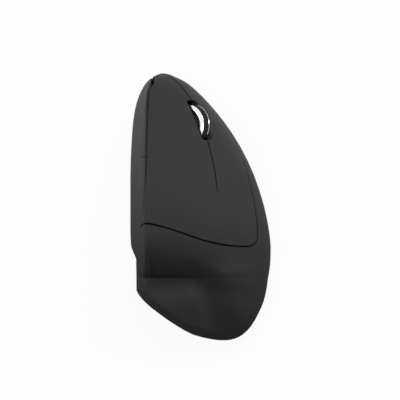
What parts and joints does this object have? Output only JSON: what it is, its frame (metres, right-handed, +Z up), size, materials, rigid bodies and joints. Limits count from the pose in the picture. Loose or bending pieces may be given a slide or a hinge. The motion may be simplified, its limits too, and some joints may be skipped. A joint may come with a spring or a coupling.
{
  "type": "vertical ergonomic mouse",
  "caption": "Right-handed vertical mouse with a steep key face, sprung keys, a rimmed scroll wheel, a palm shelf and a thumb side.",
  "frame": {"origin": "centre of the outline, on the plane that the feet rest on", "axes": "+X to the right of the hand, +Y towards the nose where the keys end, +Z up"},
  "size_m": [0.0632, 0.12, 0.0691],
  "materials": {
    "soft_touch_black": "fine-grained soft-touch",
    "base_black": "fine satin",
    "inner_plastic": "as moulded",
    "white_plastic": "as moulded",
    "red_plastic": "as moulded",
    "bright_chrome": "polished plating",
    "tread_rubber": "knurled",
    "foot_plastic": "slick",
    "circuit_board": "solder mask",
    "chip_black": "epoxy",
    "steel": "zinc-plated",
    "battery_skin": "plain wrapper",
    "clear_lens": "clear",
    "cable_film": "polyester film"
  },
  "bodies": {
    "case": {"palm_shell": "soft_touch_black", "thumb_cover": "soft_touch_black", "key_bridge": "soft_touch_black", "base_plate": "base_black", "glide_feet": "foot_plastic", "case_screws": "steel", "board_frame": "inner_plastic", "button_board": "circuit_board", "main_board": "circuit_board", "ribbon_cable": "cable_film", "cable_socket": "white_plastic", "sensor_chip": "chip_black", "sensor_lens": "clear_lens", "radio_chip": "chip_black", "left_switch": "chip_black", "right_switch": "chip_black", "middle_switch": "chip_black", "forward_switch": "chip_black", "back_switch": "chip_black", "thumb_board": "circuit_board", "board_screws": "steel", "power_switch": "steel", "pairing_switch": "steel", "battery_cell": "battery_skin", "positive_contact": "steel", "negative_contact": "steel"},
    "left_key_body": {"left_key": "soft_touch_black"},
    "right_key_body": {"right_key": "soft_touch_black"},
    "left_plunger_body": {"left_plunger": "white_plastic"},
    "right_plunger_body": {"right_plunger": "white_plastic"},
    "carriage": {"wheel_carriage": "inner_plastic", "encoder": "white_plastic"},
    "wheel": {"wheel_hub": "inner_plastic", "wheel_tread": "tread_rubber", "left_wheel_rim": "bright_chrome", "right_wheel_rim": "bright_chrome", "wheel_axle": "steel"},
    "middle_plunger_body": {"middle_plunger": "red_plastic"},
    "forward_button_body": {"forward_button": "soft_touch_black"},
    "back_button_body": {"back_button": "soft_touch_black"},
    "forward_plunger_body": {"forward_plunger": "white_plastic"},
    "back_plunger_body": {"back_plunger": "white_plastic"},
    "power_slider_body": {"power_slider": "white_plastic"},
    "pairing_button_body": {"pairing_button": "inner_plastic"},
    "battery_door_body": {"battery_door": "base_black"},
    "receiver": {"usb_receiver": "base_black"}
  },
  "joints": [
    {"name": "left_click", "type": "hinge", "parent": "case", "child": "left_key_body", "pos_m": [0.00452, 0.0072, 0.04608], "axis": [-0.6884, 0, 0.7254], "range_deg": [0, 0.6], "stiffness_Nm_per_rad": 2, "springref_deg": -0.29},
    {"name": "right_click", "type": "hinge", "parent": "case", "child": "right_key_body", "pos_m": [0.00452, 0.0072, 0.04608], "axis": [-0.6884, 0, 0.7254], "range_deg": [0, 0.6], "stiffness_Nm_per_rad": 2, "springref_deg": -0.29},
    {"name": "left_plunger_slide", "type": "slide", "parent": "case", "child": "left_plunger_body", "axis": [-0.7254, 0, -0.6884], "range_m": [0, 0.0004]},
    {"name": "right_plunger_slide", "type": "slide", "parent": "case", "child": "right_plunger_body", "axis": [-0.7254, 0, -0.6884], "range_m": [0, 0.0004]},
    {"name": "wheel_press", "type": "slide", "parent": "case", "child": "carriage", "axis": [-0.7254, 0, -0.6884], "range_m": [0, 0.0005], "stiffness_N_per_m": 1500, "springref_m": -0.0003},
    {"name": "wheel_spin", "type": "hinge", "parent": "carriage", "child": "wheel", "pos_m": [-0.00375, 0.0367, 0.03823], "axis": [0.6884, 0, -0.7254], "continuous": true},
    {"name": "middle_plunger_slide", "type": "slide", "parent": "case", "child": "middle_plunger_body", "axis": [-0.7254, 0, -0.6884], "range_m": [0, 0.0005]},
    {"name": "forward_press", "type": "slide", "parent": "case", "child": "forward_button_body", "axis": [1, 0, 0], "range_m": [0, 0.0004], "stiffness_N_per_m": 1200, "springref_m": -0.0002},
    {"name": "back_press", "type": "slide", "parent": "case", "child": "back_button_body", "axis": [1, 0, 0], "range_m": [0, 0.0004], "stiffness_N_per_m": 1200, "springref_m": -0.0002},
    {"name": "forward_plunger_slide", "type": "slide", "parent": "case", "child": "forward_plunger_body", "axis": [1, 0, 0], "range_m": [0, 0.0004]},
    {"name": "back_plunger_slide", "type": "slide", "parent": "case", "child": "back_plunger_body", "axis": [1, 0, 0], "range_m": [0, 0.0004]},
    {"name": "power_slide", "type": "slide", "parent": "case", "child": "power_slider_body", "axis": [0, -1, 0], "range_m": [0, 0.003]},
    {"name": "pairing_press", "type": "slide", "parent": "case", "child": "pairing_button_body", "axis": [0, 0, 1], "range_m": [0, 0.0004], "stiffness_N_per_m": 800, "springref_m": -0.0002},
    {"name": "door_hinge", "type": "hinge", "parent": "case", "child": "battery_door_body", "pos_m": [-0.0148, -0.03595, 0.0017], "axis": [-1, 0, 0], "range_deg": [0, 95]},
    {"name": "receiver_slide", "type": "slide", "parent": "case", "child": "receiver", "axis": [0, 0, -1], "range_m": [0, 0.012]}
  ],
  "couplings": [
    {"joint": "left_plunger_slide", "follows": "left_click", "m_per_rad": 0.0258},
    {"joint": "right_plunger_slide", "follows": "right_click", "m_per_rad": 0.0218},
    {"joint": "middle_plunger_slide", "follows": "wheel_press", "ratio": 1},
    {"joint": "forward_plunger_slide", "follows": "forward_press", "ratio": 1},
    {"joint": "back_plunger_slide", "follows": "back_press", "ratio": 1}
  ]
}
